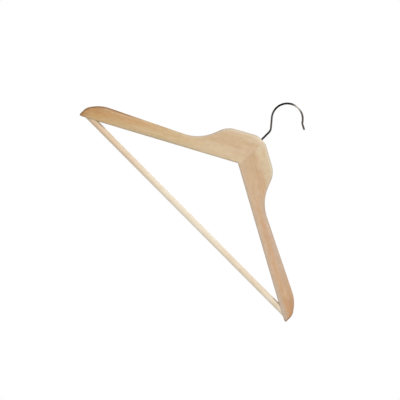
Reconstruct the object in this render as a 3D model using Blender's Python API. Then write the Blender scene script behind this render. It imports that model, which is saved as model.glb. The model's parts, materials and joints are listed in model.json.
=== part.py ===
"""A wooden clothes hanger: two arms finger-jointed and glued at the middle, a round trouser bar
pinned between their ends, and a bent wire hook that turns in a bore in the top of the wood.

Metres, +Z up. X runs along the shoulders, Y through the board with the front at -Y. The origin is
the highest point inside the hook's crook, where the hanger sits on its rod. Each size below is
measured from the hook shank's axis (X), the middle of the board (Y) and the line that the arms'
ends stand on (Z), and the whole hanger is moved to its origin by its parent empty.
"""

import math

import bmesh
import bpy
from mathutils import Vector

# Board and outline of the arms
board_thickness = 0.013
half_width = 0.221
apex_height = 0.1183
block_height = 0.0508
crest_half = 0.008
hump_x = 0.0494
hump_drop = 0.0229
neck_x = 0.0669
neck_depth = 0.0208
shoulder_inset = 0.0138
shoulder_depth = 0.0283
end_height = 0.0153
tip_drop = 0.001
heel_inset = 0.0143
heel_height = 0.0058

# Corner radii of that outline
crest_radius = 0.0142
hump_radius = 0.0325
neck_radius = 0.064
shoulder_radius = 0.055
end_radius = 0.0195
tip_radius = 0.002

# Rounding of the board's long edges
upper_edge_round = 0.005
lower_edge_round = 0.0032
tip_edge_round = 0.0018

# Finger joint between the arms
finger_length = 0.007
finger_taper = 0.00025
finger_count = 5
glue_gap = 0.0003

# Trouser bar
bar_radius = 0.005
bar_lift = 0.0036
bar_chamfer = 0.0006
socket_clearance = 0.00015
socket_end_wall = 0.0064
bar_end_gap = 0.0003

# Brads that pin the bar from the back
brad_radius = 0.0006
brad_head_radius = 0.001
brad_head_height = 0.0006
brad_point = 0.0012
brad_tip_radius = 0.0002
brad_length = 0.0095
brad_sink = 0.0002
brad_clearance = 0.0001
brad_from_socket_floor = 0.0055

# Hook wire and its centre line
wire_radius = 0.0015
shank_rise = 0.015
bend_radius = 0.011
bend_angle = math.radians(40.3)
leg_length = 0.0155
crook_radius = 0.0234
crook_sweep = math.radians(187)
flick_radius = 0.0066
flick_angle = math.radians(29)
flick_length = 0.0091

# Buried end of the hook and its bore
bore_depth = 0.026
bore_floor_gap = 0.0003
bore_clearance = 0.0001
thread_length = 0.018
thread_pitch = 0.0014
thread_crest = 0.00015
thread_root = 0.00025
shank_chamfer = 0.0005

# How far a cutter runs past what it cuts
cut_overrun = 0.003

# The most of a straight side that its corners' arcs take, and of a radius or wall that a rounding takes
side_share = 0.98
rounding_share = 0.9

# Fineness of the curved faces
arc_steps = 7
edge_steps = 4
wire_sides = 16
bar_sides = 32
brad_sides = 16
thread_rows = 4
tip_rows = 4
bend_step = math.radians(6)
sharp_edge = math.radians(35)

block_top = apex_height + block_height
heel_x = half_width - heel_inset
under_slope = (apex_height - heel_height) / heel_x
bar_height = bar_lift + bar_radius
socket_radius = bar_radius + socket_clearance
socket_floor_x = half_width - socket_end_wall
thread_radius = wire_radius + thread_crest
shank_depth = bore_depth - bore_floor_gap


def clear_scene():
    for existing in list(bpy.data.objects):
        bpy.data.objects.remove(existing, do_unlink=True)


def make_material(name, colour, roughness, metallic):
    """A plain finish for one kind of sub-part."""
    material = bpy.data.materials.new(name)
    material.use_nodes = True
    shader = material.node_tree.nodes["Principled BSDF"]
    shader.inputs["Base Color"].default_value = (*colour, 1)
    shader.inputs["Roughness"].default_value = roughness
    shader.inputs["Metallic"].default_value = metallic
    material.diffuse_color = (*colour, 1)
    return material


def arm_wood():
    return make_material("arm_wood", (0.62, 0.45, 0.26), 0.5, 0)


def dowel_wood():
    return make_material("dowel_wood", (0.84, 0.73, 0.56), 0.55, 0)


def bright_steel():
    return make_material("bright_steel", (0.56, 0.55, 0.53), 0.18, 1)


def brad_steel():
    return make_material("brad_steel", (0.45, 0.43, 0.4), 0.35, 1)


def mesh_object(name, bm, material, parent):
    """Turns finished geometry into a named object with one material, smooth on its curved faces."""
    bmesh.ops.recalc_face_normals(bm, faces=bm.faces)
    mesh = bpy.data.meshes.new(name)
    bm.to_mesh(mesh)
    bm.free()
    mesh.shade_smooth()
    mesh.set_sharp_from_angle(angle=sharp_edge)
    if material:
        mesh.materials.append(material)
    obj = bpy.data.objects.new(name, mesh)
    bpy.context.scene.collection.objects.link(obj)
    obj.parent = parent
    return obj


def skin(bm, rings):
    """Joins closed rings of vertices, one after the other, and caps the first and the last."""
    for lower, upper in zip(rings, rings[1:]):
        for i, corner in enumerate(lower):
            after = (i + 1) % len(lower)
            bm.faces.new((corner, lower[after], upper[after], upper[i]))
    bm.faces.new(list(reversed(rings[0])))
    bm.faces.new(rings[-1])


def turned(profile, sides):
    """A solid of revolution about Z from (radius, height) pairs, lowest first."""
    bm = bmesh.new()
    rings = []
    for radius, height in profile:
        ring = []
        for i in range(sides):
            angle = math.tau * i / sides
            ring.append(bm.verts.new((radius * math.cos(angle), radius * math.sin(angle), height)))
        rings.append(ring)
    skin(bm, rings)
    return bm


def cut(target, cutter, operation="DIFFERENCE"):
    modifier = target.modifiers.new(cutter.name, "BOOLEAN")
    modifier.operation = operation
    modifier.object = cutter


def as_cutter(obj):
    obj.hide_render = True
    obj.display_type = "WIRE"
    return obj


def turn_at(before, corner, after):
    return (corner - before).angle(after - corner)


def fitted_radii(places, radii):
    """The radii of an outline's inner corners, made less where two arcs would meet on a side."""
    setbacks = [0]
    for i, radius in enumerate(radii):
        setbacks.append(radius * math.tan(turn_at(*places[i : i + 3]) / 2))
    setbacks.append(0)
    fits = []
    for i in range(len(places) - 1):
        room = side_share * (places[i + 1] - places[i]).length
        fits.append(min(1, room / (setbacks[i] + setbacks[i + 1])))
    return [radius * min(fits[i], fits[i + 1]) for i, radius in enumerate(radii)]


def rounded_corner(before, corner, after, radius):
    """Points of the arc that rounds one corner of an outline in the XZ plane."""
    arriving = (corner - before).normalized()
    leaving = (after - corner).normalized()
    turn = turn_at(before, corner, after)
    setback = radius * math.tan(turn / 2)
    inward = (leaving - arriving).normalized()
    centre = corner + inward * (radius / math.cos(turn / 2))
    start = corner - arriving * setback - centre
    end = corner + leaving * setback - centre
    points = []
    for i in range(arc_steps + 1):
        share = i / arc_steps
        weight_start = math.sin((1 - share) * turn) / math.sin(turn)
        weight_end = math.sin(share * turn) / math.sin(turn)
        points.append(centre + start * weight_start + end * weight_end)
    return points


def under_height(x):
    """Height of the arm's straight underside at a distance from the middle."""
    return apex_height - under_slope * x


def half_outline():
    """Right half of the board's outline, from the middle of the top to the inside corner under it.

    Each entry is a point in the XZ plane and the rounding of the board's edge there.
    """
    neck = (neck_x, under_height(neck_x) + neck_depth)
    shoulder_x = half_width - shoulder_inset
    shoulder = (shoulder_x, under_height(shoulder_x) + shoulder_depth)
    corners = [
        (crest_half, block_top, crest_radius, upper_edge_round),
        (hump_x, block_top - hump_drop, hump_radius, upper_edge_round),
        (*neck, neck_radius, upper_edge_round),
        (*shoulder, shoulder_radius, upper_edge_round),
        (half_width, end_height, end_radius, upper_edge_round),
        (half_width, -tip_drop, tip_radius, tip_edge_round),
    ]
    start = Vector((0, 0, block_top))
    heel = Vector((heel_x, 0, heel_height))
    apex = Vector((0, 0, apex_height))
    places = [start] + [Vector((x, 0, z)) for x, z, _, _ in corners] + [heel]
    outline = [(start, upper_edge_round)]
    for i, radius in enumerate(fitted_radii(places, [corner[2] for corner in corners])):
        edge_round = min(corners[i][3], rounding_share * radius)
        for point in rounded_corner(*places[i : i + 3], radius):
            outline.append((point, edge_round))
    outline.append((heel, lower_edge_round))
    outline.append((apex, lower_edge_round))
    return outline


def whole_outline():
    """The right half and its mirror image as one closed loop."""
    right = half_outline()
    left = [(Vector((-p.x, 0, p.z)), edge_round) for p, edge_round in reversed(right[1:-1])]
    return right + left


def inset_point(before, here, after, distance):
    """Moves an outline point into the wood, square to the outline on both sides of it."""
    first = (here - before).normalized()
    second = (after - here).normalized()
    inward = Vector((first.z + second.z, 0, -first.x - second.x)).normalized()
    along = inward.dot(Vector((first.z, 0, -first.x)))
    return here + inward * (distance / along)


def board_with_rounded_edges():
    """The whole board, both arms together, as rings that run from its front face to its back."""
    outline = whole_outline()
    count = len(outline)
    half = board_thickness / 2
    quarter = [i / edge_steps for i in range(edge_steps + 1)]
    stations = [(-1, share) for share in quarter] + [(1, 1 - share) for share in quarter]
    bm = bmesh.new()
    rings = []
    for side, share in stations:
        ring = []
        for i, (point, edge_round) in enumerate(outline):
            radius = min(edge_round, rounding_share * half)
            angle = share * math.pi / 2
            inset = radius * (1 - math.sin(angle))
            depth = side * (half - radius + radius * math.cos(angle))
            before = outline[i - 1][0]
            after = outline[(i + 1) % count][0]
            moved = inset_point(before, point, after, inset)
            ring.append(bm.verts.new((moved.x, depth, moved.z)))
        rings.append(ring)
    skin(bm, rings)
    return bm


def comb_outline(side):
    """One arm's share of the board seen from above, with its fingers: side is -1 left, 1 right."""
    band = board_thickness / finger_count
    tip_x = -side * (finger_length - glue_gap) / 2
    floor_x = side * (finger_length + glue_gap) / 2
    outer_x = side * (half_width + cut_overrun)
    own_band = 0 if side < 0 else 1
    front = -board_thickness / 2 - cut_overrun
    points = [(outer_x, front), (tip_x if own_band == 0 else floor_x, front)]
    for i in range(1, finger_count):
        y = i * band - board_thickness / 2
        ends_finger = (i - 1) % 2 == own_band
        shift = -glue_gap / 2 if ends_finger else glue_gap / 2
        first_x, second_x = (tip_x, floor_x) if ends_finger else (floor_x, tip_x)
        points.append((first_x, y - finger_taper + shift))
        points.append((second_x, y + finger_taper + shift))
    points.append((points[-1][0], -front))
    points.append((outer_x, -front))
    return points


def arm_region(side, parent):
    """A prism over one arm, which the whole board is cut down to."""
    bm = bmesh.new()
    heights = (-cut_overrun, block_top + cut_overrun)
    rings = [[bm.verts.new((x, y, z)) for x, y in comb_outline(side)] for z in heights]
    skin(bm, rings)
    return as_cutter(mesh_object("region", bm, None, parent))


def hook_bore(parent):
    radius = thread_radius + bore_clearance
    profile = [(radius, block_top - bore_depth), (radius, block_top + cut_overrun)]
    return as_cutter(mesh_object("hook_bore", turned(profile, wire_sides * 2), None, parent))


def bar_socket(side, parent):
    """Cuts the arm's blind hole, from the open triangle under the arm to the hole's floor."""
    mouth_x = (apex_height - bar_height - socket_radius - cut_overrun) / under_slope
    profile = [(socket_radius, mouth_x), (socket_radius, socket_floor_x)]
    cutter = as_cutter(mesh_object("bar_socket", turned(profile, bar_sides), None, parent))
    cutter.location.z = bar_height
    cutter.rotation_euler.y = side * math.pi / 2
    return cutter


def brad_profile(grow):
    """(radius, height) pairs of a brad with its head's face at height 0, grown on all sides."""
    under_head = -brad_head_height - grow
    point_start = brad_point - brad_length
    return [
        (brad_tip_radius + grow, -brad_length - grow),
        (brad_radius + grow, point_start),
        (brad_radius + grow, under_head),
        (brad_head_radius + grow, under_head),
    ]


def place_brad(obj, side):
    obj.location = (
        side * (socket_floor_x - brad_from_socket_floor),
        board_thickness / 2 - brad_sink,
        bar_height,
    )
    obj.rotation_euler.x = -math.pi / 2
    return obj


def brad_hole(side, parent):
    profile = brad_profile(brad_clearance) + [(brad_head_radius + brad_clearance, cut_overrun)]
    cutter = mesh_object("brad_hole", turned(profile, brad_sides), None, parent)
    return place_brad(as_cutter(cutter), side)


def make_arm(name, side, material, parent):
    arm = mesh_object(name, board_with_rounded_edges(), material, parent)
    cut(arm, arm_region(side, parent), "INTERSECT")
    cut(arm, hook_bore(parent))
    cut(arm, bar_socket(side, parent))
    cut(arm, brad_hole(side, parent))
    return arm


def make_trouser_bar(material, parent):
    end = socket_floor_x - bar_end_gap
    inner = bar_radius - bar_chamfer
    profile = [
        (inner, -end),
        (bar_radius, bar_chamfer - end),
        (bar_radius, end - bar_chamfer),
        (inner, end),
    ]
    bar = mesh_object("trouser_bar", turned(profile, bar_sides), material, parent)
    bar.location.z = bar_height
    bar.rotation_euler.y = math.pi / 2
    for side in (-1, 1):
        cut(bar, brad_hole(side, parent))
    return bar


def make_brad(name, side, material, parent):
    profile = brad_profile(0) + [(brad_head_radius, 0)]
    return place_brad(mesh_object(name, turned(profile, brad_sides), material, parent), side)


def hook_runs():
    """The hook's wire above its thread as (length, radius, turn): straight where radius is 0."""
    return [
        (shank_depth - thread_length + shank_rise, 0, 0),
        (0, bend_radius, bend_angle),
        (leg_length, 0, 0),
        (0, crook_radius, -crook_sweep),
        (0, flick_radius, flick_angle),
        (flick_length - wire_radius, 0, 0),
    ]


def hook_centre_line():
    """(point, heading) pairs along the wire from the top of its thread, in the XZ plane."""
    here = Vector((0, 0, thread_length - shank_depth))
    heading = math.pi / 2
    line = [(here, heading)]
    for length, radius, turn in hook_runs():
        if radius == 0:
            here = here + length * Vector((math.cos(heading), 0, math.sin(heading)))
            line.append((here, heading))
            continue
        towards_centre = math.copysign(radius, turn) * Vector((-math.sin(heading), 0, math.cos(heading)))
        centre = here + towards_centre
        steps = max(arc_steps, round(abs(turn) / bend_step))
        for i in range(1, steps + 1):
            swung = turn * i / steps
            out = Vector((
                -towards_centre.x * math.cos(swung) + towards_centre.z * math.sin(swung),
                0,
                -towards_centre.x * math.sin(swung) - towards_centre.z * math.cos(swung),
            ))
            here = centre + out
            line.append((here, heading + swung))
        heading += turn
    return line


def wire_ring(bm, centre, heading, radii):
    """One ring of the wire, square to its heading, with a radius for each of its sides."""
    across = Vector((math.sin(heading), 0, -math.cos(heading)))
    ring = []
    for i, radius in enumerate(radii):
        angle = math.tau * i / wire_sides
        offset = across * math.cos(angle) + Vector((0, 1, 0)) * math.sin(angle)
        ring.append(bm.verts.new(centre + offset * radius))
    return ring


def thread_rings(bm):
    """The rolled thread: its ridge climbs one pitch for each turn round the wire."""
    rings = []
    height_step = thread_pitch / thread_rows
    count = round((thread_length - 2 * shank_chamfer) / height_step)
    for row in range(count + 1):
        height = shank_chamfer + row * height_step
        radii = []
        for i in range(wire_sides):
            phase = (row / thread_rows - i / wire_sides) % 1
            ridge = 1 - abs(2 * phase - 1)
            radii.append(wire_radius - thread_root + ridge * (thread_root + thread_crest))
        rings.append(wire_ring(bm, Vector((0, 0, height - shank_depth)), math.pi / 2, radii))
    return rings


def make_hook(material, parent):
    """One wire: a blunt buried end, the thread, the shank, the crook and a rounded tip."""
    bm = bmesh.new()
    blunt = [wire_radius - thread_root - shank_chamfer / 2] * wire_sides
    rings = [wire_ring(bm, Vector((0, 0, -shank_depth)), math.pi / 2, blunt)]
    rings += thread_rings(bm)
    centre_line = hook_centre_line()
    for point, heading in centre_line:
        rings.append(wire_ring(bm, point, heading, [wire_radius] * wire_sides))
    end, heading = centre_line[-1]
    forward = Vector((math.cos(heading), 0, math.sin(heading)))
    for i in range(1, tip_rows):
        angle = i / tip_rows * math.pi / 2
        radii = [wire_radius * math.cos(angle)] * wire_sides
        rings.append(wire_ring(bm, end + forward * wire_radius * math.sin(angle), heading, radii))
    skin(bm, rings)
    hook = mesh_object("hook", bm, material, parent)
    hook.location.z = block_top
    return hook


def rod_seat():
    """The highest point inside the crook, from the shank's axis and the line under the ends."""
    centre_x = (
        crook_radius * math.cos(bend_angle)
        - leg_length * math.sin(bend_angle)
        - bend_radius * (1 - math.cos(bend_angle))
    )
    centre_z = (
        block_top
        + shank_rise
        + (bend_radius + crook_radius) * math.sin(bend_angle)
        + leg_length * math.cos(bend_angle)
    )
    return Vector((centre_x, 0, centre_z + crook_radius - wire_radius))


def make_swivel_axis():
    """The empty that carries the hanger, on the shank's axis, so that the rod seat is the origin."""
    axis = bpy.data.objects.new("swivel_axis", None)
    bpy.context.scene.collection.objects.link(axis)
    axis.location = -rod_seat()
    return axis


def build():
    clear_scene()
    axis = make_swivel_axis()
    wood = arm_wood()
    brad_finish = brad_steel()
    for name, side in (("left", -1), ("right", 1)):
        make_arm(f"{name}_arm", side, wood, axis)
        make_brad(f"{name}_bar_brad", side, brad_finish, axis)
    make_trouser_bar(dowel_wood(), axis)
    make_hook(bright_steel(), axis)


build()
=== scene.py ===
"""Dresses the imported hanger: fine wood, wire and brads with their materials, a camera and a studio.

Metres, +Z up. Pieces are built about the point where the hook's wire enters the wood, with X along
the shoulders, Y through the board (front at -Y) and Z up from the top of the block.
"""

import json
import math

import bmesh
import bpy
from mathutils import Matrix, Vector

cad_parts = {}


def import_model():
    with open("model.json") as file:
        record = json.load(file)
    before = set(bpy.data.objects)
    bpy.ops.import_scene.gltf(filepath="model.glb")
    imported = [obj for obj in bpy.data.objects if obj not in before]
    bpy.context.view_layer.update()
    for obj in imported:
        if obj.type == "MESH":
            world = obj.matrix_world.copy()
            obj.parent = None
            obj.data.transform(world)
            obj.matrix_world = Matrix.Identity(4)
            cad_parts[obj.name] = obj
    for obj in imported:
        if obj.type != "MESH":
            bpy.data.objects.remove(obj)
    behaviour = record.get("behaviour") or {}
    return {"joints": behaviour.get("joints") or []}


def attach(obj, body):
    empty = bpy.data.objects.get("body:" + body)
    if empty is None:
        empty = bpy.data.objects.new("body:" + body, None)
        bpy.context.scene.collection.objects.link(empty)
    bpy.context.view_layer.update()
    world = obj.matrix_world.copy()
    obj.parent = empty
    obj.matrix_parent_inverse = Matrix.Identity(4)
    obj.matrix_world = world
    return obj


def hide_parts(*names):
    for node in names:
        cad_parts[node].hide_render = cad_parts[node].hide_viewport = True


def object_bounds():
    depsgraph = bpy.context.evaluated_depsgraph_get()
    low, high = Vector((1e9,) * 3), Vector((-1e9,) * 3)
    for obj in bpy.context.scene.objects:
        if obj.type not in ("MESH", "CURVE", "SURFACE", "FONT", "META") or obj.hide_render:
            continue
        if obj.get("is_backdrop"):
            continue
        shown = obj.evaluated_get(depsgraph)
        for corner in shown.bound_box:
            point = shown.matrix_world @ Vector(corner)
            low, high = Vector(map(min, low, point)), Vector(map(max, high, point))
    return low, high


# Board and outline of the arms, as in the solids
board_thickness = 0.013
half_width = 0.221
apex_drop = 0.0508
tip_line_drop = 0.1691
crest_half = 0.008
hump_x = 0.0494
hump_drop = 0.0229
neck_x = 0.0669
neck_depth = 0.0208
shoulder_inset = 0.0138
shoulder_depth = 0.0283
end_height = 0.0153
tip_drop = 0.001
heel_inset = 0.0143
heel_height = 0.0058

# Corner radii of that outline
crest_radius = 0.0142
hump_radius = 0.0325
neck_radius = 0.064
shoulder_radius = 0.055
end_radius = 0.0195
tip_radius = 0.002

# Rounding of the board's long edges at each corner, as how far it goes across the face and in depth
crest_rounding = (0.0068, 0.0056)
hump_rounding = (0.0072, 0.0058)
neck_rounding = (0.0046, 0.005)
shoulder_rounding = (0.0036, 0.0044)
end_rounding = (0.0032, 0.0042)
tip_rounding = (0.0016, 0.0022)
under_rounding = (0.0026, 0.003)

# Finger joint between the arms
finger_length = 0.007
finger_taper = 0.00025
finger_count = 5
glue_line = 0.00006

# Trouser bar, its sockets and brads
bar_radius = 0.005
bar_lift = 0.0036
bar_end_round = 0.0006
socket_clearance = 0.00015
socket_end_wall = 0.0064
bar_end_gap = 0.0003
brad_radius = 0.0006
brad_head_radius = 0.001
brad_head_height = 0.0006
brad_dome = 0.0003
brad_dome_flat = 0.00002
brad_length = 0.0095
brad_point = 0.0012
brad_sink = 0.0002
brad_clearance = 0.0001
brad_from_socket_floor = 0.0055

# Hook wire
wire_radius = 0.0015
shank_rise = 0.015
bend_radius = 0.011
bend_angle = math.radians(40.3)
leg_length = 0.0155
crook_radius = 0.0234
crook_sweep = math.radians(187)
flick_radius = 0.0066
flick_angle = math.radians(29)
flick_length = 0.0091
bore_depth = 0.026
bore_floor_gap = 0.0003
bore_radius = 0.00175
thread_length = 0.018
thread_pitch = 0.0014
thread_crest = 0.00015
thread_root = 0.00025

# How far a cutter runs past what it cuts
cut_overrun = 0.003

# Fineness of the curved faces
arc_steps = 18
edge_steps = 8
dome_steps = 4
run_step = 0.006
wire_sides = 32
bar_sides = 72
brad_sides = 32
wire_step = math.radians(2.5)
thread_rows = 12
sharp_edge = math.radians(32)

# Where colours change down an arm, from the foot of the joint to the arm's end
block_to_arm = (0.03, 0.12)
under_to_far = (0.06, 0.12)
arm_to_tip = (0.14, 0.24)
end_grain_deepens = (0.1, 0.2)
edge_shade_grows = (0.15, 0.2)
shoulder_browns = (0.21, 0.228)
end_browns = (0.232, 0.252)
tip_darkens = (0.243, 0.252)

# Where they change over the underside, and how far the grain makes those lines wander
under_fades = (0, 0.008)
shoulder_begins = (0.009, 0.014)
upper_begins = (0.012, 0.019)
joint_fades = (0.026, 0.032)
crest_begins = (0.032, 0.039)
grain_wander = 0.012

# Where they fade beside the joint
beside_joint = (0, 0.028)
beside_crest = (0.007, 0.017)

# Where the bar's colours change, from its middle
left_end_warms = (0.03, 0.19)
arm_shadow_band = (0.177, 0.184)
shade_by_arms = (0.178, 0.192)

# Depth of the finest relief of each surface
fibre_relief = 0.00002
fleck_relief = 0.00001
dowel_relief = 0.00001
wire_relief = 0.000002
brad_relief = 0.00002
paper_relief = 0.0001

# Where the camera's middle looks, the width that it sees, how far off it stands, and its roll
view_centre = (-0.00616, 0, -0.20155)
view_width = 0.60396
view_distance = 1.6
view_roll = math.radians(45.1624)

# Two large soft lights, one before the hanger and one behind it
light_aside = -0.05
light_distance = 1.7
light_height = 0.5
light_size = (0.6, 0.9)
light_target = (0, 0, -0.15)
front_power = 13.3
back_power = 12

# Paper floor
floor_drop = 1.2
floor_radius = 9.0
floor_sides = 96

apex_height = tip_line_drop - apex_drop
heel_x = half_width - heel_inset
under_slope = (apex_height - heel_height) / heel_x
bar_height = bar_lift + bar_radius - tip_line_drop
socket_radius = bar_radius + socket_clearance
socket_floor_x = half_width - socket_end_wall
shank_depth = bore_depth - bore_floor_gap


def srgb(red, green, blue):
    """A screen colour of 0 to 255 as the linear colour that shaders take."""
    linear = []
    for value in (red, green, blue):
        share = value / 255
        linear.append(share / 12.92 if share <= 0.04045 else ((share + 0.055) / 1.055) ** 2.4)
    return (*linear, 1)


# Shapes


def mesh_object(name, bm):
    """Makes an object of a bmesh and frees the bmesh."""
    bmesh.ops.recalc_face_normals(bm, faces=bm.faces)
    mesh = bpy.data.meshes.new(name)
    bm.to_mesh(mesh)
    bm.free()
    obj = bpy.data.objects.new(name, mesh)
    bpy.context.scene.collection.objects.link(obj)
    return obj


def skin(bm, rings):
    """Joins closed rings of vertices, one after the other, and caps the first and the last."""
    for lower, upper in zip(rings, rings[1:]):
        for i, corner in enumerate(lower):
            after = (i + 1) % len(lower)
            bm.faces.new((corner, lower[after], upper[after], upper[i]))
    bm.faces.new(list(reversed(rings[0])))
    bm.faces.new(rings[-1])


def turned(profile, sides):
    """A solid of revolution about Z from (radius, height) pairs, lowest first."""
    bm = bmesh.new()
    rings = []
    for radius, height in profile:
        ring = []
        for i in range(sides):
            angle = math.tau * i / sides
            ring.append(bm.verts.new((radius * math.cos(angle), radius * math.sin(angle), height)))
        rings.append(ring)
    skin(bm, rings)
    return bm


def rounded_corner(before, corner, after, radius):
    """Points of the arc that rounds one corner of an outline in the XZ plane."""
    arriving = (corner - before).normalized()
    leaving = (after - corner).normalized()
    turn = (corner - before).angle(after - corner)
    setback = radius * math.tan(turn / 2)
    inward = (leaving - arriving).normalized()
    centre = corner + inward * (radius / math.cos(turn / 2))
    start = corner - arriving * setback - centre
    end = corner + leaving * setback - centre
    points = []
    for i in range(arc_steps + 1):
        share = i / arc_steps
        weight_start = math.sin((1 - share) * turn) / math.sin(turn)
        weight_end = math.sin(share * turn) / math.sin(turn)
        points.append(centre + start * weight_start + end * weight_end)
    return points


def under_height(x):
    """Height of the straight underside over the line that the arms' ends stand on."""
    return apex_height - under_slope * x


def outline_corners():
    """(x, height over the line of the arms' ends, radius, edge rounding), from crest to tip."""
    shoulder_x = half_width - shoulder_inset
    return [
        (crest_half, tip_line_drop, crest_radius, crest_rounding),
        (hump_x, tip_line_drop - hump_drop, hump_radius, hump_rounding),
        (neck_x, under_height(neck_x) + neck_depth, neck_radius, neck_rounding),
        (shoulder_x, under_height(shoulder_x) + shoulder_depth, shoulder_radius, shoulder_rounding),
        (half_width, end_height, end_radius, end_rounding),
        (half_width, -tip_drop, tip_radius, tip_rounding),
    ]


def half_outline():
    """Right half of the board's outline, from its top round the arm's end to the underside's apex.

    Each entry is a point and how far the edge's rounding goes there, across the face and in depth.
    """
    corners = outline_corners()
    start = Vector((0, 0, tip_line_drop))
    heel = Vector((heel_x, 0, heel_height))
    apex = Vector((0, 0, apex_height))
    places = [start] + [Vector((x, 0, z)) for x, z, *_ in corners] + [heel]
    outline = [(start, *crest_rounding)]
    for i, (_, _, radius, rounding) in enumerate(corners):
        for point in rounded_corner(*places[i : i + 3], radius):
            outline.append((point, *rounding))
    outline.append((heel, *under_rounding))
    outline.append((apex, *under_rounding))
    return with_even_runs(outline)


def with_even_runs(outline):
    """The same outline with points along its long straight runs, so that roundings change evenly."""
    finer = []
    for here, after in zip(outline, outline[1:]):
        count = max(1, math.ceil((after[0] - here[0]).length / run_step))
        for i in range(count):
            share = i / count
            point = here[0].lerp(after[0], share)
            roundings = [start + (end - start) * share for start, end in zip(here[1:], after[1:])]
            finer.append((point, *roundings))
    finer.append(outline[-1])
    return finer


def inset_point(before, here, after, distance):
    """Moves an outline point into the wood, square to the outline on both sides of it."""
    first = (here - before).normalized()
    second = (after - here).normalized()
    inward = Vector((first.z + second.z, 0, -first.x - second.x)).normalized()
    along = inward.dot(Vector((first.z, 0, -first.x)))
    return here + inward * (distance / along)


def board():
    """Both arms in one, as rings that run from the front face round the edge to the back.

    Each ring lies at a share of the quarter turn that rounds the front edge or the back edge.
    """
    right = half_outline()
    outline = list(right)
    for point, *roundings in reversed(right[1:-1]):
        outline.append((Vector((-point.x, 0, point.z)), *roundings))
    half = board_thickness / 2
    quarter = [i / edge_steps for i in range(edge_steps + 1)]
    stations = [(-1, share) for share in quarter] + [(1, 1 - share) for share in quarter]
    bm = bmesh.new()
    rings = []
    for side, share in stations:
        angle = share * math.pi / 2
        ring = []
        for i, (point, across, deep) in enumerate(outline):
            before = outline[i - 1][0]
            after = outline[(i + 1) % len(outline)][0]
            moved = inset_point(before, point, after, across * (1 - math.sin(angle)))
            depth = side * (half - deep + deep * math.cos(angle))
            ring.append(bm.verts.new((moved.x, depth, moved.z - tip_line_drop)))
        rings.append(ring)
    skin(bm, rings)
    return bm


def comb_outline(side):
    """One arm's share of the board seen from above, with its fingers.

    The board's thickness is cut into bands. The left arm has fingers in the first band from the
    front and in every second one after it, and the right arm has them in the others.
    """
    band = board_thickness / finger_count
    tip_x = -side * (finger_length - glue_line) / 2
    floor_x = side * (finger_length + glue_line) / 2
    outer_x = side * (half_width + cut_overrun)
    own_band = 0 if side < 0 else 1
    front = -board_thickness / 2 - cut_overrun
    points = [(outer_x, front), (tip_x if own_band == 0 else floor_x, front)]
    for i in range(1, finger_count):
        y = i * band - board_thickness / 2
        ends_finger = (i - 1) % 2 == own_band
        shift = -glue_line / 2 if ends_finger else glue_line / 2
        first_x, second_x = (tip_x, floor_x) if ends_finger else (floor_x, tip_x)
        points.append((first_x, y - finger_taper + shift))
        points.append((second_x, y + finger_taper + shift))
    points.append((points[-1][0], -front))
    points.append((outer_x, -front))
    return points


def comb(side):
    """The solid of one arm's share of the board, which cuts the arm out of it."""
    bm = bmesh.new()
    heights = (-tip_line_drop - cut_overrun, cut_overrun)
    skin(bm, [[bm.verts.new((x, y, z)) for x, y in comb_outline(side)] for z in heights])
    return mesh_object("comb", bm)


def bore_cutter():
    """The bore for the hook, down from the top of the block."""
    profile = [(bore_radius, -bore_depth), (bore_radius, cut_overrun)]
    return mesh_object("bore", turned(profile, wire_sides))


def socket_cutter(side):
    """The blind socket for one end of the bar, from where the underside is clear of the bar."""
    mouth_x = (apex_height - bar_lift - 2 * bar_radius - cut_overrun) / under_slope
    profile = [(socket_radius, mouth_x), (socket_radius, socket_floor_x)]
    cutter = mesh_object("socket", turned(profile, bar_sides))
    cutter.location.z = bar_height
    cutter.rotation_euler.y = side * math.pi / 2
    return cutter


def brad_profile(grow):
    """(radius, height) pairs of a brad with its head's face at height 0, grown on all sides."""
    under_head = -brad_head_height - grow
    return [
        (brad_radius / 3 + grow, -brad_length - grow),
        (brad_radius + grow, brad_point - brad_length),
        (brad_radius + grow, under_head),
        (brad_head_radius + grow, under_head),
    ]


def place_brad(obj, side):
    """Lays a brad through one end of the bar, with its head in the back of the arm."""
    depth = board_thickness / 2 - brad_sink
    obj.location = (side * (socket_floor_x - brad_from_socket_floor), depth, bar_height)
    obj.rotation_euler.x = -math.pi / 2
    return obj


def brad_cutter(side):
    """The hole of one brad, which is open at the back."""
    profile = brad_profile(brad_clearance) + [(brad_head_radius + brad_clearance, cut_overrun)]
    return place_brad(mesh_object("brad_hole", turned(profile, brad_sides)), side)


def carve(obj, cutters):
    """Cuts obj with each (cutter, operation) and deletes the cutters."""
    for cutter, operation in cutters:
        modifier = obj.modifiers.new(cutter.name, "BOOLEAN")
        modifier.operation = operation
        modifier.object = cutter
        modifier.solver = "EXACT"
    bpy.context.view_layer.update()
    evaluated = obj.evaluated_get(bpy.context.evaluated_depsgraph_get())
    finished = bpy.data.meshes.new_from_object(evaluated)
    obj.modifiers.clear()
    obj.data = finished
    for cutter, _ in cutters:
        bpy.data.objects.remove(cutter, do_unlink=True)
    return obj


def smooth(obj):
    """Shades an object smooth and leaves its sharp edges sharp."""
    obj.data.shade_smooth()
    obj.data.set_sharp_from_angle(angle=sharp_edge)
    return obj


def make_arm(name, side):
    """One arm with its fingers, its half of the bore, its socket and its brad hole."""
    cutters = [
        (comb(side), "INTERSECT"),
        (bore_cutter(), "DIFFERENCE"),
        (socket_cutter(side), "DIFFERENCE"),
        (brad_cutter(side), "DIFFERENCE"),
    ]
    return smooth(carve(mesh_object(name, board()), cutters))


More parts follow.
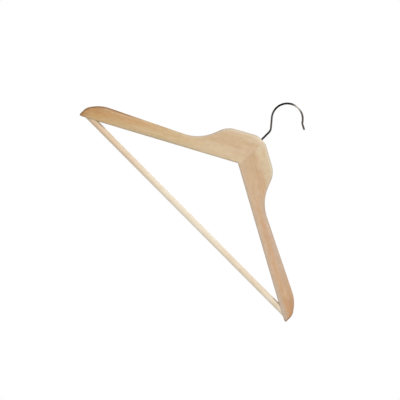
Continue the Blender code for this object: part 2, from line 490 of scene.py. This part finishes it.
def make_bar(name):
    """The round bar with its rounded ends and its two brad holes."""
    end = socket_floor_x - bar_end_gap
    profile = []
    for i in range(edge_steps + 1):
        angle = i / edge_steps * math.pi / 2
        inner = bar_radius - bar_end_round * (1 - math.sin(angle))
        profile.append((inner, -end + bar_end_round * (1 - math.cos(angle))))
    profile += [(radius, -height) for radius, height in reversed(profile)]
    bar = mesh_object(name, turned(profile, bar_sides))
    bar.location.z = bar_height
    bar.rotation_euler.y = math.pi / 2
    return smooth(carve(bar, [(brad_cutter(-1), "DIFFERENCE"), (brad_cutter(1), "DIFFERENCE")]))


def make_brad(name, side):
    """One brad with a domed head."""
    profile = brad_profile(0)
    for i in range(1, dome_steps + 1):
        angle = i / dome_steps * math.pi / 2
        radius = brad_head_radius * math.cos(angle) + brad_dome_flat
        profile.append((radius, -brad_dome + brad_dome * math.sin(angle)))
    return smooth(place_brad(mesh_object(name, turned(profile, brad_sides)), side))


def pointing(heading):
    """The unit vector at a heading in the XZ plane, which counts from X towards Z."""
    return Vector((math.cos(heading), 0, math.sin(heading)))


def swing(vector, angle):
    """Turns a vector of the XZ plane from X towards Z."""
    return Vector((
        vector.x * math.cos(angle) - vector.z * math.sin(angle),
        0,
        vector.x * math.sin(angle) + vector.z * math.cos(angle),
    ))


def hook_centre_line():
    """(point, heading) pairs along the wire from the top of its thread, in the XZ plane.

    A run is a length, or else the radius of a bend and the angle that it turns through.
    """
    runs = [
        (shank_depth - thread_length + shank_rise, 0, 0),
        (0, bend_radius, bend_angle),
        (leg_length, 0, 0),
        (0, crook_radius, -crook_sweep),
        (0, flick_radius, flick_angle),
        (flick_length - wire_radius, 0, 0),
    ]
    here = Vector((0, 0, thread_length - shank_depth))
    heading = math.pi / 2
    line = [(here, heading)]
    for length, radius, turn in runs:
        if radius == 0:
            here = here + length * pointing(heading)
            line.append((here, heading))
            continue
        side = Vector((-math.sin(heading), 0, math.cos(heading)))
        towards_centre = math.copysign(radius, turn) * side
        centre = here + towards_centre
        steps = math.ceil(abs(turn) / wire_step)
        for i in range(1, steps + 1):
            swung = turn * i / steps
            here = centre + swing(-towards_centre, swung)
            line.append((here, heading + swung))
        heading += turn
    return line


def wire_ring(bm, centre, heading, radii):
    """A ring of vertices square to the heading, with one radius for each of the wire's sides."""
    across = Vector((math.sin(heading), 0, -math.cos(heading)))
    ring = []
    for i, radius in enumerate(radii):
        angle = math.tau * i / wire_sides
        offset = across * math.cos(angle) + Vector((0, 1, 0)) * math.sin(angle)
        ring.append(bm.verts.new(centre + offset * radius))
    return ring


def thread_rings(bm):
    """The buried end of the wire: a blunt end, and a rolled thread whose ridge winds up it."""
    chamfer = thread_pitch / 3
    blunt = [wire_radius - thread_root - chamfer / 2] * wire_sides
    rings = [wire_ring(bm, Vector((0, 0, -shank_depth)), math.pi / 2, blunt)]
    height_step = thread_pitch / thread_rows
    for row in range(round((thread_length - 2 * chamfer) / height_step) + 1):
        radii = []
        for i in range(wire_sides):
            phase = (row / thread_rows - i / wire_sides) % 1
            ridge = 1 - abs(2 * phase - 1)
            radii.append(wire_radius - thread_root + ridge * (thread_root + thread_crest))
        height = chamfer + row * height_step - shank_depth
        rings.append(wire_ring(bm, Vector((0, 0, height)), math.pi / 2, radii))
    return rings


def tip_rings(bm, end, heading):
    """The rounded tip of the wire."""
    rings = []
    for i in range(1, edge_steps):
        angle = i / edge_steps * math.pi / 2
        centre = end + pointing(heading) * wire_radius * math.sin(angle)
        rings.append(wire_ring(bm, centre, heading, [wire_radius * math.cos(angle)] * wire_sides))
    return rings


def make_hook(name):
    """The bent wire, from its thread in the bore to its tip."""
    bm = bmesh.new()
    rings = thread_rings(bm)
    line = hook_centre_line()
    for point, heading in line:
        rings.append(wire_ring(bm, point, heading, [wire_radius] * wire_sides))
    rings += tip_rings(bm, *line[-1])
    skin(bm, rings)
    return smooth(mesh_object(name, bm))


# Materials

# How far a face turns to the upper edge for the painted sheen and for the painted edge shade, and to
# the arm's end for its end grain
painted_sheen_turn = (0.14, 0.66)
edge_shade_turn = (0.1, 0.8)
end_grain_turn = (0.25, 0.9)

# The span of a noise that holds most of it, and its low and high parts
noise_span = (0.3, 0.7)
noise_lows = (0.36, 0.5)
noise_highs = (0.5, 0.64)

# Patterns in the arms' wood, with their scales along, up and through the arm
arm_patterns = {
    "broad": {"scales": (7, 110, 50), "detail": 2, "roughness": 0.5, "distortion": 0.3},
    "rings": {"scales": (12, 330, 160), "detail": 2, "roughness": 0.55, "distortion": 0.3},
    "mottle": {"scales": (110, 240, 110), "detail": 2, "roughness": 0.6, "distortion": 0.2},
    "fibres": {"scales": (60, 2600, 1500), "detail": 3, "roughness": 0.6},
    "flecks": {"scales": (380, 2900, 2000), "detail": 1, "roughness": 0.5},
}

# Tints that both arms share
shared_tints = {
    "crest": srgb(222, 206, 187),
    "dark_ring": srgb(178, 138, 98),
    "pale_ring": srgb(228, 209, 180),
    "dark_mottle": srgb(182, 142, 100),
    "pale_mottle": srgb(226, 205, 178),
    "fibre": srgb(168, 126, 86),
    "fleck": srgb(146, 104, 68),
    "dark_tip": srgb(112, 70, 42),
}

# Tints of the bar
bar_tints = {
    "dark_mottle": srgb(216, 184, 144),
    "pale_mottle": srgb(240, 230, 214),
    "left_end": srgb(222, 194, 162),
    "left_end_painted_shade": srgb(178, 144, 106),
    # Painted shade beside the arms
    "ends": srgb(176, 142, 104),
    "painted_light_top_bottom": srgb(250, 246, 236),
    "painted_arm_shadow": srgb(112, 76, 48),
    "pore": srgb(190, 156, 118),
}

lacquer = {"Specular IOR Level": 0.35, "Coat Weight": 0.3, "Coat Roughness": 0.36}


class Nodes:
    """A node tree, with a short call for each kind of node."""

    def __init__(self, tree):
        self.nodes = tree.nodes
        self.links = tree.links

    def put(self, socket, value):
        """Links another node's output to a socket, or else sets the socket's own value."""
        if isinstance(value, bpy.types.NodeSocket):
            self.links.new(value, socket)
        else:
            socket.default_value = value

    def dot(self, vector, direction):
        node = self.nodes.new("ShaderNodeVectorMath")
        node.operation = "DOT_PRODUCT"
        self.put(node.inputs[0], vector)
        node.inputs[1].default_value = direction
        return node.outputs["Value"]

    def join(self, x, y, z):
        node = self.nodes.new("ShaderNodeCombineXYZ")
        for socket, value in zip(node.inputs, (x, y, z)):
            self.put(socket, value)
        return node.outputs[0]

    def math(self, operation, first, second=0.0):
        node = self.nodes.new("ShaderNodeMath")
        node.operation = operation
        self.put(node.inputs[0], first)
        self.put(node.inputs[1], second)
        return node.outputs[0]

    def times(self, first, *others):
        product = first
        for other in others:
            product = self.math("MULTIPLY", product, other)
        return product

    def noise(self, vector, scales, detail, roughness=0.5, distortion=0.0, offset=(0, 0, 0)):
        mapping = self.nodes.new("ShaderNodeMapping")
        self.put(mapping.inputs["Vector"], vector)
        mapping.inputs["Scale"].default_value = scales
        mapping.inputs["Location"].default_value = offset
        node = self.nodes.new("ShaderNodeTexNoise")
        self.put(node.inputs["Vector"], mapping.outputs[0])
        node.inputs["Scale"].default_value = 1
        node.inputs["Detail"].default_value = detail
        node.inputs["Roughness"].default_value = roughness
        node.inputs["Distortion"].default_value = distortion
        return node.outputs["Fac"]

    def remap(self, value, band, start, end):
        """Goes smoothly from start to end while the value crosses the band."""
        node = self.nodes.new("ShaderNodeMapRange")
        node.interpolation_type = "SMOOTHSTEP"
        self.put(node.inputs["Value"], value)
        node.inputs["From Min"].default_value = band[0]
        node.inputs["From Max"].default_value = band[1]
        node.inputs["To Min"].default_value = start
        node.inputs["To Max"].default_value = end
        return node.outputs[0]

    def rise(self, value, band, strength=1):
        """Rises from 0 to strength over the band."""
        return self.remap(value, band, 0, strength)

    def fall(self, value, band, strength=1):
        """Falls from strength to 0 over the band."""
        return self.remap(value, band, strength, 0)

    def ramp(self, value, stops):
        node = self.nodes.new("ShaderNodeValToRGB")
        self.put(node.inputs["Fac"], value)
        elements = node.color_ramp.elements
        while len(elements) < len(stops):
            elements.new(1)
        for element, (position, colour) in zip(elements, stops):
            element.position = position
            element.color = colour
        return node.outputs["Color"]

    def mix(self, share, under, over):
        """Lays one colour over another, by a share of 0 to 1."""
        node = self.nodes.new("ShaderNodeMix")
        node.data_type = "RGBA"
        # The node's sockets for colours are its inputs 6 and 7 and its output 2
        self.put(node.inputs[0], share)
        self.put(node.inputs[6], under)
        self.put(node.inputs[7], over)
        return node.outputs[2]

    def bump(self, height, distance, under=None):
        node = self.nodes.new("ShaderNodeBump")
        self.put(node.inputs["Height"], height)
        node.inputs["Distance"].default_value = distance
        node.inputs["Strength"].default_value = 1
        if under:
            self.put(node.inputs["Normal"], under)
        return node.outputs[0]


class Surface(Nodes):
    """The node tree of one material, and the colour that it has so far."""

    def __init__(self, name):
        self.material = bpy.data.materials.new(name)
        self.material.use_nodes = True
        super().__init__(self.material.node_tree)
        self.shader = self.nodes["Principled BSDF"]
        coordinates = self.nodes.new("ShaderNodeTexCoord")
        self.place = coordinates.outputs["Object"]
        self.facing = coordinates.outputs["Normal"]
        self.colour = srgb(255, 255, 255)

    def tint(self, share, colour):
        """Lays a colour over what the surface has so far."""
        self.colour = self.mix(share, self.colour, colour)

    def finish(self, roughness, normal, metallic=0.0):
        self.put(self.shader.inputs["Base Color"], self.colour)
        self.put(self.shader.inputs["Roughness"], roughness)
        self.put(self.shader.inputs["Normal"], normal)
        self.shader.inputs["Metallic"].default_value = metallic
        return self.material


class ArmWood(Surface):
    """Pale lacquered hardwood whose grain runs down one arm.

    along is the way down the arm from the foot of the joint, over is the height over the underside,
    height is the same made wavy by the grain, and aside is the distance from the joint. look holds
    the tints, bands and strengths that differ between the arms, and seed shifts the grain. A band
    is the two places between which a tint grows to its full strength or fades from it.
    """

    def __init__(self, name, side, seed, look):
        super().__init__(name)
        self.look = look
        self.tints = {**shared_tints, **look["tints"]}
        length = math.hypot(1, under_slope)
        self.down = (side / length, 0, -under_slope / length)
        self.out = (side * under_slope / length, 0, 1 / length)
        foot = under_slope * apex_drop / length
        self.along = self.math("SUBTRACT", self.dot(self.place, self.down), foot)
        self.over = self.math("ADD", self.dot(self.place, self.out), apex_drop / length)
        self.aside = self.dot(self.place, (side, 0, 0))
        grain = self.join(self.along, self.over, self.dot(self.place, (0, 1, 0)))
        self.broad = self.noise(grain, **arm_patterns["broad"], offset=(seed, 0, 0))
        self.rings = self.noise(grain, **arm_patterns["rings"], offset=(0, seed, 0))
        self.mottle = self.noise(grain, **arm_patterns["mottle"], offset=(seed, 0, seed))
        self.fibres = self.noise(grain, **arm_patterns["fibres"], offset=(seed, seed, 0))
        self.flecks = self.noise(grain, **arm_patterns["flecks"], offset=(0, seed, seed))
        wander = self.times(self.math("SUBTRACT", self.broad, 0.5), grain_wander)
        self.height = self.math("ADD", self.over, wander)

    def colour_by_place(self):
        """The colours of the block, the arm and its tip, then those of the hump and the underside."""
        tints = self.tints
        self.colour = self.mix(self.rise(self.along, block_to_arm), tints["block"], tints["arm"])
        self.tint(self.rise(self.along, arm_to_tip), tints["tip"])
        hump = self.rise(self.height, self.look["hump_begins"])
        hump = self.times(hump, self.fall(self.height, self.look["hump_fades"]))
        self.tint(hump, tints["hump"])
        under = self.mix(self.rise(self.along, under_to_far), tints["under"], tints["under_far"])
        self.tint(self.fall(self.height, under_fades, strength=0.85), under)

    def draw_streaks(self):
        """Warm streaks down the arm, broken up by its rings, and the tint beside its upper edge."""
        broken = self.remap(self.rings, noise_span, 0.6, 1)
        for streak in self.look["streaks"]:
            off_middle = self.math("ABSOLUTE", self.math("SUBTRACT", self.height, streak["middle"]))
            band = self.fall(off_middle, (0, streak["half_width"]), streak["strength"])
            reach = self.rise(self.along, streak["begins"])
            self.tint(self.times(band, reach, broken), self.tints["warm"])
        # A band beside the upper edge; on the right arm its greyer tint is a painted sheen
        beside = self.rise(self.height, upper_begins, self.look["upper_strength"])
        reach = self.rise(self.along, self.look["upper_reaches"])
        fades = self.fall(self.along, self.look["upper_fades"])
        self.tint(self.times(beside, reach, fades), self.tints["upper"])

    def tint_joint(self):
        """The tint beside the joint, and the paler crest above it."""
        joint = self.fall(self.aside, beside_joint, strength=0.9)
        begins = self.rise(self.over, self.look["joint_begins"])
        fades = self.fall(self.over, joint_fades)
        self.tint(self.times(joint, begins, fades), self.tints["joint"])
        crest = self.fall(self.aside, beside_crest, strength=0.27)
        self.tint(self.times(crest, self.rise(self.over, crest_begins)), self.tints["crest"])

    def draw_grain(self):
        """Rings and mottle, each with a dark and a pale side, and then fibres and flecks."""
        tints = self.tints
        tone = self.math("ADD", self.times(self.broad, 0.4), self.times(self.rings, 0.6))
        self.tint(self.fall(tone, noise_lows, strength=0.18), tints["dark_ring"])
        self.tint(self.rise(tone, noise_highs, strength=0.16), tints["pale_ring"])
        self.tint(self.fall(self.mottle, noise_lows, strength=0.14), tints["dark_mottle"])
        self.tint(self.rise(self.mottle, noise_highs, strength=0.13), tints["pale_mottle"])
        self.tint(self.fall(self.fibres, (0.35, 0.65), strength=0.1), tints["fibre"])
        self.tint(self.rise(self.flecks, (0.64, 0.76), strength=0.22), tints["fleck"])

    def draw_sheen_shade_and_ends(self):
        """A painted sheen on the block's upper edges, painted shade on the upper edges towards the
        arm's end, and brown end grain.
        """
        look = self.look
        shade_and_browning = look["edge_shade_and_end_browning"]
        ends = self.tints["ends"]
        outward = self.dot(self.facing, self.out)
        # Faces turned to the upper edge near the block get a pale grey: a painted sheen
        painted_sheen = self.rise(outward, painted_sheen_turn, strength=0.5)
        painted_sheen = self.times(painted_sheen, self.fall(self.along, look["painted_sheen_fades"]))
        self.tint(painted_sheen, self.tints["painted_sheen"])
        # Faces turned to the upper edge darken towards the arm's end: painted shade
        edge_shade = self.remap(self.along, edge_shade_grows, 0.05, shade_and_browning)
        self.tint(self.times(self.rise(outward, edge_shade_turn), edge_shade), ends)
        shoulder = self.rise(self.along, shoulder_browns, look["shoulder_browning"])
        self.tint(self.times(self.rise(self.over, shoulder_begins), shoulder), ends)
        end_grain = self.rise(self.dot(self.facing, self.down), end_grain_turn, strength=0.8)
        deepens = self.remap(self.along, end_grain_deepens, 0.6, 1)
        self.tint(self.times(end_grain, deepens), ends)
        self.tint(self.rise(self.along, end_browns, shade_and_browning * 0.7), ends)
        self.tint(self.rise(self.along, tip_darkens, strength=0.45), self.tints["dark_tip"])

    def lacquered(self):
        """Satin lacquer over grooves between the fibres, and a small pit at each fleck."""
        grooves = self.bump(self.fibres, fibre_relief)
        normal = self.bump(self.fall(self.flecks, (0.62, 0.76)), fleck_relief, under=grooves)
        for socket, value in lacquer.items():
            self.shader.inputs[socket].default_value = value
        return self.finish(self.remap(self.fibres, noise_span, 0.42, 0.52), normal)


def arm_wood(name, side, seed, look):
    """The material of one arm, built up layer by layer."""
    wood = ArmWood(name, side, seed, look)
    wood.colour_by_place()
    wood.draw_streaks()
    wood.tint_joint()
    wood.draw_grain()
    wood.draw_sheen_shade_and_ends()
    return wood.lacquered()


def left_wood():
    """The left arm: yellower, with warm streaks and strong painted shade on its upper edges in its
    outer half.
    """
    look = {
        "tints": {
            "block": srgb(214, 190, 156),
            "arm": srgb(206, 177, 133),
            "tip": srgb(194, 157, 104),
            "hump": srgb(204, 174, 136),
            "under": srgb(203, 185, 153),
            "under_far": srgb(188, 174, 143),
            "warm": srgb(198, 143, 84),
            "upper": srgb(176, 136, 88),
            "joint": srgb(210, 181, 149),
            # Pale grey of the painted sheen on the block's upper edges
            "painted_sheen": srgb(222, 212, 196),
            "ends": srgb(146, 98, 56),
        },
        "streaks": [
            {"middle": 0.0165, "half_width": 0.0085, "strength": 0.66, "begins": (0.1, 0.17)},
            {"middle": 0.013, "half_width": 0.005, "strength": 0.42, "begins": (0.19, 0.225)},
            {"middle": 0.007, "half_width": 0.003, "strength": 0.4, "begins": (0.2, 0.24)},
        ],
        "hump_begins": (0.014, 0.028),
        "hump_fades": (0.033, 0.047),
        "joint_begins": (0.005, 0.012),
        "upper_strength": 0.26,
        "upper_reaches": (0.15, 0.2),
        # Past the arm's end, so that this tint never fades
        "upper_fades": (0.3, 0.31),
        "painted_sheen_fades": (0.05, 0.13),
        "edge_shade_and_end_browning": 0.85,
        "shoulder_browning": 0.2,
    }
    return arm_wood("left_arm_wood", -1, 3.7, look)


def right_wood():
    """The right arm: pinker, with warm streaks all the way down it and light painted shade on its
    upper edges.
    """
    look = {
        "tints": {
            "block": srgb(206, 176, 141),
            "arm": srgb(208, 175, 143),
            "tip": srgb(202, 166, 130),
            "hump": srgb(210, 188, 154),
            "under": srgb(203, 182, 160),
            "under_far": srgb(198, 181, 163),
            "warm": srgb(205, 149, 98),
            # A greyer band beside the upper edge near the neck: a painted sheen
            "upper": srgb(190, 170, 153),
            "joint": srgb(199, 168, 130),
            # Pale grey of the painted sheen on the block's upper edges
            "painted_sheen": srgb(220, 210, 190),
            "ends": srgb(164, 112, 74),
        },
        "streaks": [
            {"middle": 0.024, "half_width": 0.008, "strength": 0.16, "begins": (-0.01, 0.01)},
            {"middle": 0.012, "half_width": 0.006, "strength": 0.42, "begins": (0.04, 0.09)},
            {"middle": 0.013, "half_width": 0.007, "strength": 0.75, "begins": (0.205, 0.232)},
        ],
        "hump_begins": (0.029, 0.039),
        "hump_fades": (0.06, 0.07),
        "joint_begins": (0.013, 0.02),
        "upper_strength": 0.55,
        "upper_reaches": (0.05, 0.08),
        "upper_fades": (0.16, 0.22),
        "painted_sheen_fades": (0.03, 0.08),
        "edge_shade_and_end_browning": 0.14,
        "shoulder_browning": 0.3,
    }
    return arm_wood("right_arm_wood", 1, 11.3, look)


def dowel_wood():
    """Paler wood with straight grain down the bar.

    The bar's own Z runs to its right end, and its own X points down.
    """
    wood = Surface("dowel_wood")
    place = wood.place
    facing = wood.facing
    broad = wood.noise(place, (130, 130, 9), detail=2, roughness=0.55, distortion=0.3)
    rings = wood.noise(place, (500, 500, 14), detail=2, distortion=0.2, offset=(4, 0, 0))
    mottle = wood.noise(
        place, (170, 170, 80), detail=2, roughness=0.6, distortion=0.2, offset=(0, 5, 0)
    )
    fibres = wood.noise(place, (1500, 1500, 40), detail=2, roughness=0.6)
    pores = wood.noise(place, (3600, 3600, 300), detail=1, offset=(9, 0, 0))
    tone = wood.math("ADD", wood.times(broad, 0.6), wood.times(rings, 0.34))
    tone = wood.math("ADD", tone, wood.times(fibres, 0.06))
    shades = [
        (0.0, srgb(227, 207, 180)),
        (0.45, srgb(232, 217, 193)),
        (1.0, srgb(235, 223, 201)),
    ]
    wood.colour = wood.ramp(wood.rise(tone, noise_span), shades)
    wood.tint(wood.fall(mottle, (0.36, 0.52), strength=0.16), bar_tints["dark_mottle"])
    wood.tint(wood.rise(mottle, noise_highs, strength=0.25), bar_tints["pale_mottle"])

    downward = wood.dot(facing, (1, 0, 0))
    upward = wood.dot(facing, (-1, 0, 0))
    to_left = wood.dot(place, (0, 0, -1))
    from_middle = wood.math("ABSOLUTE", to_left)
    left_end = wood.rise(to_left, left_end_warms, strength=0.85)
    wood.tint(left_end, bar_tints["left_end"])
    # The underside near the left end darkens: painted shade
    below = wood.rise(downward, (-0.1, 0.9), strength=0.4)
    wood.tint(wood.times(left_end, below), bar_tints["left_end_painted_shade"])
    # Darker at both ends, beside the arms: painted shade
    wood.tint(wood.rise(from_middle, shade_by_arms, strength=0.12), bar_tints["ends"])
    # Paler where the bar turns up or down: painted light
    painted_light_top_bottom = wood.rise(wood.math("ABSOLUTE", downward), (0.7, 1), strength=0.6)
    wood.tint(painted_light_top_bottom, bar_tints["painted_light_top_bottom"])
    # The arms' shadow painted dark on the bar's top beside each socket
    arm_shadow = wood.rise(from_middle, arm_shadow_band, strength=0.42)
    wood.tint(wood.times(wood.rise(upward, (0.3, 0.9)), arm_shadow), bar_tints["painted_arm_shadow"])
    wood.tint(wood.rise(pores, (0.66, 0.78), strength=0.08), bar_tints["pore"])
    rough = wood.remap(fibres, noise_span, 0.55, 0.65)
    return wood.finish(rough, wood.bump(fibres, dowel_relief))


def wire_steel():
    """Bright plated wire with faint drawing lines and small handling marks."""
    steel = Surface("hook_steel")
    place = steel.place
    cloud = steel.noise(place, (160, 160, 160), detail=3, roughness=0.6)
    lines = steel.noise(place, (2200, 4200, 2200), detail=2, roughness=0.6)
    scuffs = steel.noise(
        place, (900, 900, 900), detail=4, roughness=0.7, distortion=0.6, offset=(3, 3, 3)
    )
    steel.colour = steel.ramp(cloud, [(0.3, srgb(132, 127, 122)), (0.7, srgb(148, 143, 139))])
    steel.tint(steel.rise(scuffs, (0.62, 0.72), strength=0.2), srgb(100, 92, 86))
    rough = steel.remap(lines, noise_span, 0.14, 0.2)
    return steel.finish(rough, steel.bump(lines, wire_relief), metallic=1)


def brad_steel():
    """Dull wire steel with specks on the flattened heads."""
    steel = Surface("brad_steel")
    cloud = steel.noise(steel.place, (900, 900, 900), detail=4, roughness=0.6)
    steel.colour = steel.ramp(cloud, [(0.3, srgb(112, 104, 96)), (0.7, srgb(166, 160, 152))])
    rough = steel.remap(cloud, noise_span, 0.3, 0.5)
    return steel.finish(rough, steel.bump(cloud, brad_relief), metallic=1)


# Studio

# Light on matt surfaces from below and from above
fill_below = (0.62, 0.62, 0.62, 1)
fill_above = (0.78, 0.78, 0.78, 1)

# What the wire mirrors: dark sides, a bright panel overhead and underneath, and a grey wall
side_shade = (0.012, 0.006, 0.003, 1)
panel_shade = (3.2, 3.2, 3.2, 1)
panel_lean = 0.05
panel_spread = (0.06, 0.42)
overhead_begins = (0.03, 0.12)
underneath_fades = (-0.12, -0.03)
wall_shade = (0.62, 0.62, 0.62, 1)
wall_begins = (-0.02, 0.34)

# The floor's own light, which keeps its paper pale
floor_glow = 0.14


def aim(obj, target):
    """Turns a light so that it shines on a point."""
    obj.rotation_euler = (Vector(target) - obj.location).to_track_quat("-Z", "Y").to_euler()


def soft_light(name, depth, power):
    """A large soft light before or behind the hanger, which the wire doesn't mirror."""
    light = bpy.data.lights.new(name, "AREA")
    light.shape = "RECTANGLE"
    light.size, light.size_y = light_size
    light.energy = power
    obj = bpy.data.objects.new(name, light)
    bpy.context.scene.collection.objects.link(obj)
    obj.location = (light_aside, depth, light_height)
    aim(obj, light_target)
    obj.visible_camera = False
    obj.visible_glossy = False


def make_world():
    """White to the camera, a soft fill for matt surfaces, and a studio to mirror for bright ones.

    The fill is stronger from above. The studio is dark at the sides, with a long bright panel
    overhead from front to back, a dimmer one underneath, and a grey wall up on the right and down
    on the left.
    """
    world = bpy.data.worlds.new("studio")
    bpy.context.scene.world = world
    world.use_nodes = True
    world.node_tree.nodes.clear()
    sky = Nodes(world.node_tree)
    direction = sky.nodes.new("ShaderNodeTexCoord").outputs["Generated"]
    right = sky.dot(direction, (1, 0, 0))
    up = sky.dot(direction, (0, 0, 1))
    lean = sky.math("ABSOLUTE", sky.math("ADD", sky.math("DIVIDE", right, up), panel_lean))
    panel = sky.fall(lean, panel_spread)
    overhead = sky.times(panel, sky.rise(up, overhead_begins))
    underneath = sky.times(panel, sky.fall(up, underneath_fades, strength=0.6))
    wall = sky.rise(sky.times(right, up), wall_begins)
    studio = sky.mix(wall, side_shade, wall_shade)
    studio = sky.mix(sky.math("ADD", overhead, underneath), studio, panel_shade)

    path = sky.nodes.new("ShaderNodeLightPath").outputs
    fill = sky.mix(sky.rise(up, (-1, 1)), fill_below, fill_above)
    colour = sky.mix(path["Is Glossy Ray"], fill, studio)
    colour = sky.mix(path["Is Camera Ray"], colour, (1, 1, 1, 1))
    background = sky.nodes.new("ShaderNodeBackground")
    sky.put(background.inputs["Color"], colour)
    out = sky.nodes.new("ShaderNodeOutputWorld")
    sky.put(out.inputs["Surface"], background.outputs[0])


def make_floor():
    """A round sheet of pale paper far below the hanger."""
    bm = bmesh.new()
    bmesh.ops.create_circle(bm, cap_ends=True, segments=floor_sides, radius=floor_radius)
    floor = mesh_object("studio_floor", bm)
    floor.location.z = -tip_line_drop - floor_drop
    paper = Surface("floor_paper")
    mottle = paper.noise(paper.place, (3, 3, 3), detail=2)
    paper.colour = paper.ramp(mottle, [(0.3, srgb(246, 246, 245)), (0.7, srgb(248, 248, 247))])
    paper.shader.inputs["Emission Color"].default_value = (1, 1, 1, 1)
    paper.shader.inputs["Emission Strength"].default_value = floor_glow
    floor.data.materials.append(paper.finish(0.8, paper.bump(mottle, paper_relief)))
    floor.visible_diffuse = False
    floor.visible_glossy = False
    floor.visible_shadow = False
    floor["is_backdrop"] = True


def make_camera():
    """A square-on camera without perspective, rolled so that the hanger leans."""
    data = bpy.data.cameras.new("camera")
    data.type = "ORTHO"
    data.ortho_scale = view_width
    camera = bpy.data.objects.new("camera", data)
    bpy.context.scene.collection.objects.link(camera)
    camera.location = Vector(view_centre) - Vector((0, view_distance, 0))
    camera.rotation_euler = (math.pi / 2, -view_roll, 0)
    bpy.context.scene.camera = camera


def dress(piece, material, body, node, origin):
    """Gives a piece its material and place, and lets it replace its plain solid."""
    piece.data.materials.clear()
    piece.data.materials.append(material)
    piece.location += origin
    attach(piece, body)
    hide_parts(node)


def build():
    """Dresses every piece, sets up the studio and returns the box of the plain solids."""
    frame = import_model()
    cad_box = [list(corner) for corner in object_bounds()]
    origin = Vector(frame["joints"][0]["pos_m"])
    steel = brad_steel()
    dress(make_arm("left_arm_wood", -1), left_wood(), "hanger", "left_arm", origin)
    dress(make_arm("right_arm_wood", 1), right_wood(), "hanger", "right_arm", origin)
    dress(make_bar("trouser_bar_dowel"), dowel_wood(), "hanger", "trouser_bar", origin)
    dress(make_hook("hook_wire"), wire_steel(), "hook", "hook", origin)
    dress(make_brad("left_brad", -1), steel, "hanger", "left_bar_brad", origin)
    dress(make_brad("right_brad", 1), steel, "hanger", "right_bar_brad", origin)
    make_world()
    make_floor()
    make_camera()
    soft_light("front", -light_distance, front_power)
    soft_light("back", light_distance, back_power)
    view = bpy.context.scene.view_settings
    view.view_transform = "Standard"
    view.look = "None"
    return cad_box


cad_box = build()
